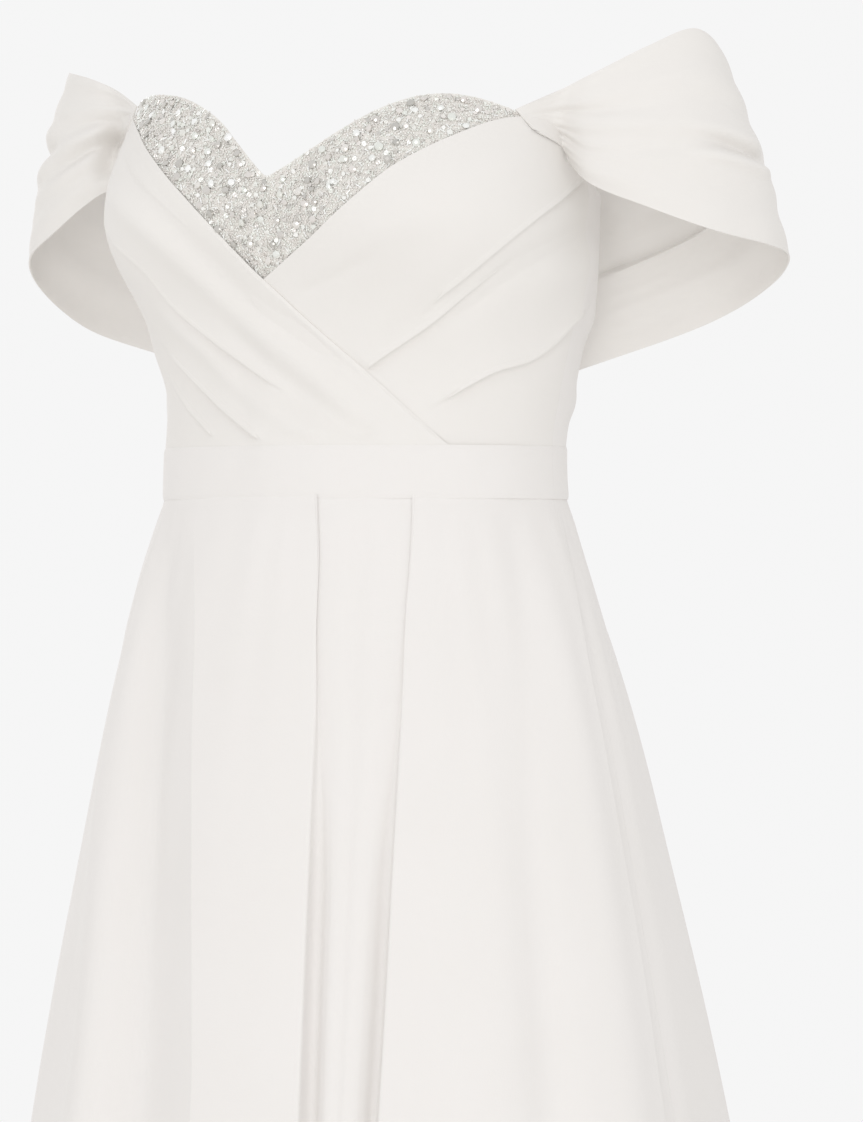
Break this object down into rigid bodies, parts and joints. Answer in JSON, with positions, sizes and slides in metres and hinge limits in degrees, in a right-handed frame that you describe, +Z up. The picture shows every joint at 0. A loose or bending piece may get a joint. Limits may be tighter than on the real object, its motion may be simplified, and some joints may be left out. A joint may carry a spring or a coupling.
{
  "type": "off-the-shoulder evening gown",
  "caption": "Floor-length off-the-shoulder gown: sequinned sweetheart insert, draped wrap bodice, plain waistband, A-line skirt with an inverted pleat, and wide gathered sleeve bands.",
  "frame": {"origin": "middle of the waist opening, halfway up the waistband", "axes": "+Z up the body, -Y towards the front of the gown, +X towards the wearer's left"},
  "size_m": [0.6012, 0.6063, 1.3147],
  "materials": {
    "ivory_crepe": "matt crepe with a soft sheen, close fine weave",
    "ivory_chiffon": "soft draped chiffon over lining, fine weave",
    "sequinned_tulle": "fine net closely sewn with clear and silver sequins and beads"
  },
  "bodies": {
    "root": {"sweetheart_insert": "sequinned_tulle", "wrap_under": "ivory_chiffon", "wrap_over": "ivory_chiffon", "bodice_back_left": "ivory_crepe", "bodice_back_right": "ivory_crepe", "waistband_front": "ivory_crepe", "waistband_back_left": "ivory_crepe", "waistband_back_right": "ivory_crepe", "sleeve_left": "ivory_chiffon", "sleeve_right": "ivory_chiffon", "skirt_front": "ivory_crepe", "skirt_back_left": "ivory_crepe", "skirt_back_right": "ivory_crepe"}
  },
  "joints": []
}
